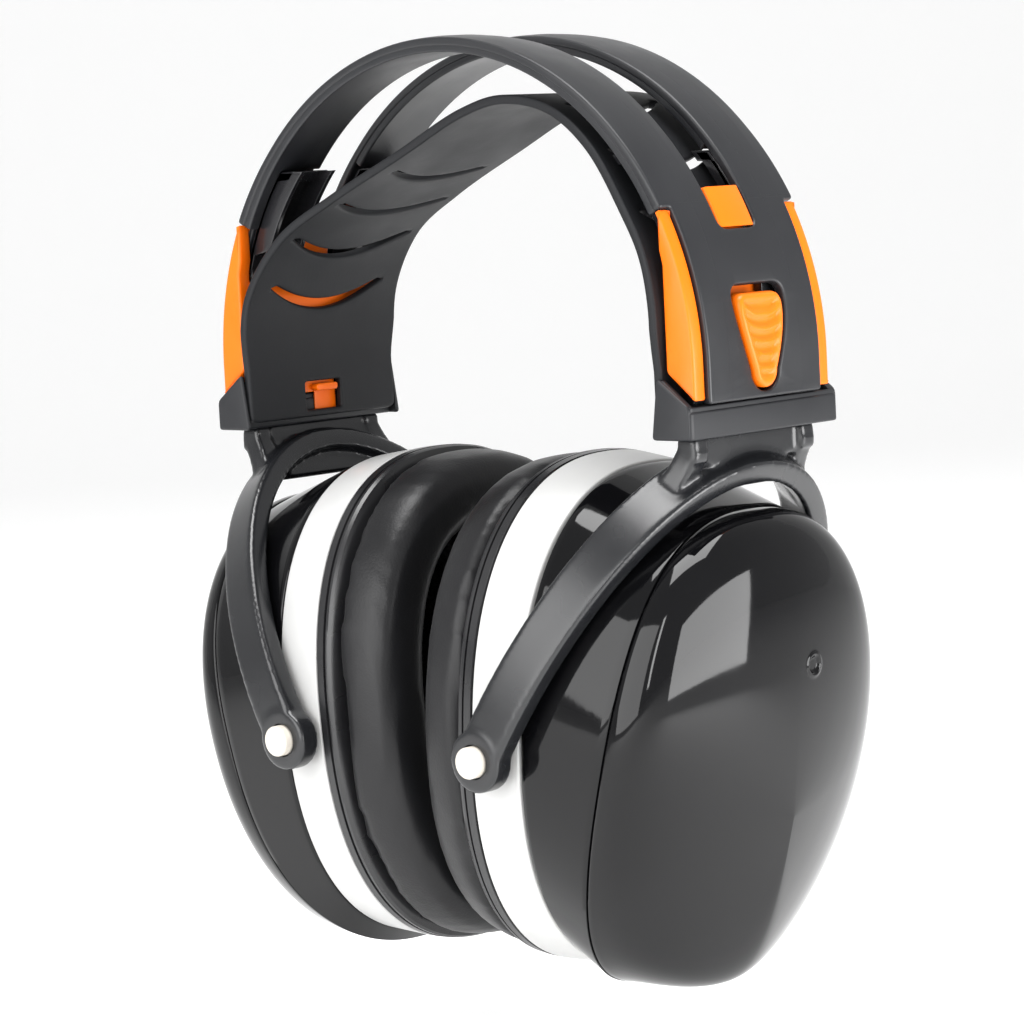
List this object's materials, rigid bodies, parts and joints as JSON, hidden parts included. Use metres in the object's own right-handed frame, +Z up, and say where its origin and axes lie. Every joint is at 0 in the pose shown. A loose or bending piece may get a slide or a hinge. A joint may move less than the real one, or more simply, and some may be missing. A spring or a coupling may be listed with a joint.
{
  "type": "earmuff hearing protector",
  "caption": "Over-ear hearing protector with a slotted headband hoop, a soft inner strap, sliding yokes with push-button locks and oval cups that tilt on pins.",
  "frame": {"origin": "midway between the ears, on the line through the cup pivots", "axes": "+X the wearer's right, +Y forward, +Z up"},
  "size_m": [0.1508, 0.1012, 0.2023],
  "materials": {
    "band_plastic": "fine matte texture",
    "strap_plastic": "soft, finely grained",
    "orange_plastic": "satin",
    "yoke_plastic": "semi-gloss",
    "cup_plastic": "high gloss",
    "ring_plastic": "satin",
    "pin_plastic": "satin",
    "plate_plastic": "satin",
    "leatherette": "smooth satin",
    "foam": "open-cell foam",
    "spring_steel": "drawn wire"
  },
  "bodies": {
    "headband": {"headband_hoop": "band_plastic", "inner_strap": "strap_plastic", "collar_right": "band_plastic", "lock_housing_right": "orange_plastic", "guide_prong_right_front": "band_plastic", "guide_prong_right_rear": "band_plastic", "button_spring_right": "spring_steel", "collar_left": "band_plastic", "lock_housing_left": "orange_plastic", "guide_prong_left_front": "band_plastic", "guide_prong_left_rear": "band_plastic", "button_spring_left": "spring_steel"},
    "button_right": {"release_button_right": "orange_plastic"},
    "yoke_right": {"yoke_right": "yoke_plastic"},
    "cup_right": {"pivot_pin_right_front": "pin_plastic", "pivot_pin_right_rear": "pin_plastic", "pivot_ring_right": "ring_plastic", "cup_body_right": "cup_plastic", "cup_dome_right": "cup_plastic", "foam_liner_right": "foam", "seal_plate_right": "plate_plastic", "cushion_cover_right": "leatherette", "cushion_foam_right": "foam"},
    "button_left": {"release_button_left": "orange_plastic"},
    "yoke_left": {"yoke_left": "yoke_plastic"},
    "cup_left": {"pivot_pin_left_front": "pin_plastic", "pivot_pin_left_rear": "pin_plastic", "pivot_ring_left": "ring_plastic", "cup_body_left": "cup_plastic", "cup_dome_left": "cup_plastic", "foam_liner_left": "foam", "seal_plate_left": "plate_plastic", "cushion_cover_left": "leatherette", "cushion_foam_left": "foam"}
  },
  "joints": [
    {"name": "yoke_slide_right", "type": "slide", "parent": "headband", "child": "yoke_right", "axis": [0, 0, 1], "range_m": [-0.022, 0]},
    {"name": "cup_tilt_right", "type": "hinge", "parent": "yoke_right", "child": "cup_right", "pos_m": [0.0283, 0, 0], "axis": [0, -1, 0], "range_deg": [0, 3.5]},
    {"name": "button_press_right", "type": "slide", "parent": "headband", "child": "button_right", "axis": [-1, 0, 0], "range_m": [0, 0.0013], "stiffness_N_per_m": 900, "deforming": ["button_spring_right"]},
    {"name": "yoke_slide_left", "type": "slide", "parent": "headband", "child": "yoke_left", "axis": [0, 0, 1], "range_m": [-0.022, 0]},
    {"name": "cup_tilt_left", "type": "hinge", "parent": "yoke_left", "child": "cup_left", "pos_m": [-0.0283, 0, 0], "axis": [0, 1, 0], "range_deg": [0, 3.5]},
    {"name": "button_press_left", "type": "slide", "parent": "headband", "child": "button_left", "axis": [1, 0, 0], "range_m": [0, 0.0013], "stiffness_N_per_m": 900, "deforming": ["button_spring_left"]}
  ]
}
